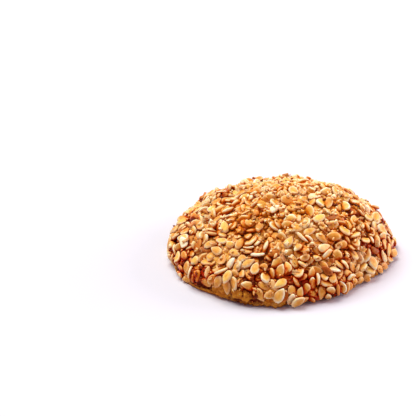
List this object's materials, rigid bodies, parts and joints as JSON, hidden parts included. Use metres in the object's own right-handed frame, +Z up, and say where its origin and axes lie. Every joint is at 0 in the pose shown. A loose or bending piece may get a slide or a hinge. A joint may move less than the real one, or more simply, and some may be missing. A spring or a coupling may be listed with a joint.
{
  "type": "sesame shortbread cookie",
  "caption": "Round, low-domed shortbread cookie coated all over with toasted sesame seeds, with a flat baked foot to rest on.",
  "frame": {"origin": "middle of the cookie's box in plan, on the surface that it stands on", "axes": "+Z up out of the crown, +X to the right and +Y away from the viewer of the picture"},
  "size_m": [0.0536, 0.0538, 0.0185],
  "materials": {
    "baked_crust": "toasted sesame seeds in a thin caramel glaze over golden baked dough"
  },
  "bodies": {
    "root": {"sesame_cookie": "baked_crust"}
  },
  "joints": []
}
